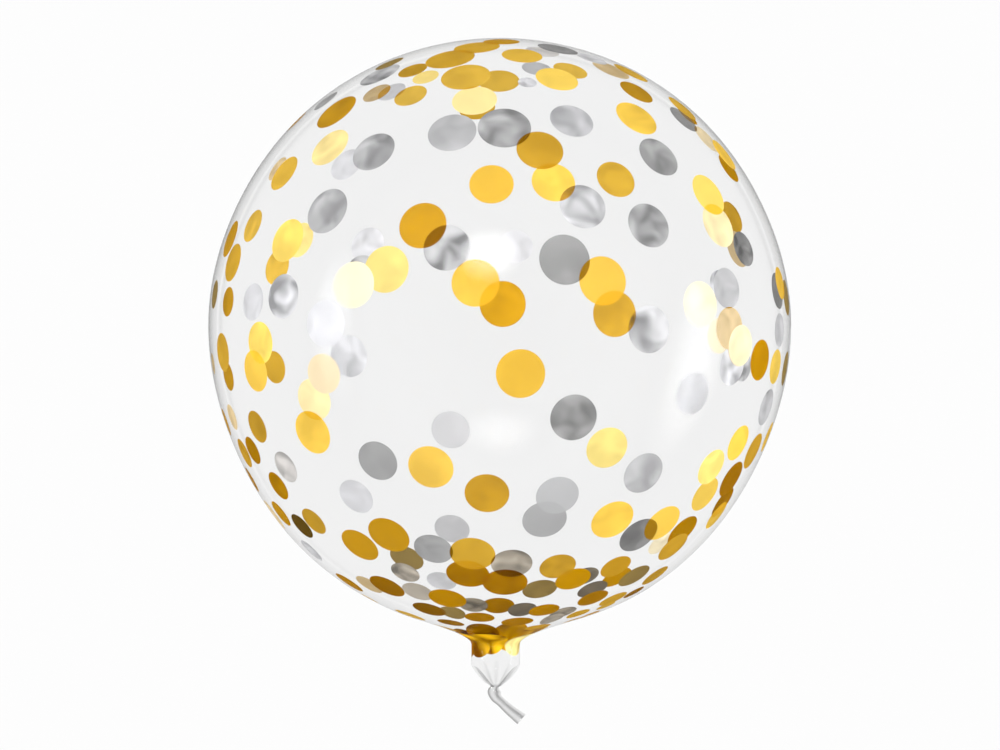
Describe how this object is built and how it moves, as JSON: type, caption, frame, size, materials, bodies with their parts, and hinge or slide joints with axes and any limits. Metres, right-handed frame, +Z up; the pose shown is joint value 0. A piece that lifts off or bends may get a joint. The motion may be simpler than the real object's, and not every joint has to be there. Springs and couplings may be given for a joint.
{
  "type": "clear bubble balloon",
  "caption": "Clear, sealed bubble balloon lying on its side, a round film body with gold and silver foil dots, drawn into a short neck that is pinched shut with a curled tail.",
  "frame": {"origin": "centre of the small flat spot that the balloon lies on, under the widest ring of the body", "axes": "+Z up, -Y along the neck towards the tie and tail, +Y towards the crown, +X to the side that the tail curls to"},
  "size_m": [0.4, 0.4748, 0.3977],
  "materials": {
    "clear_film": "clear glossy plastic film",
    "gold_foil": "satin metallic gold foil, slightly see-through",
    "silver_foil": "crinkled metallic silver foil, slightly see-through"
  },
  "bodies": {
    "root": {"balloon": "clear_film"}
  },
  "joints": []
}
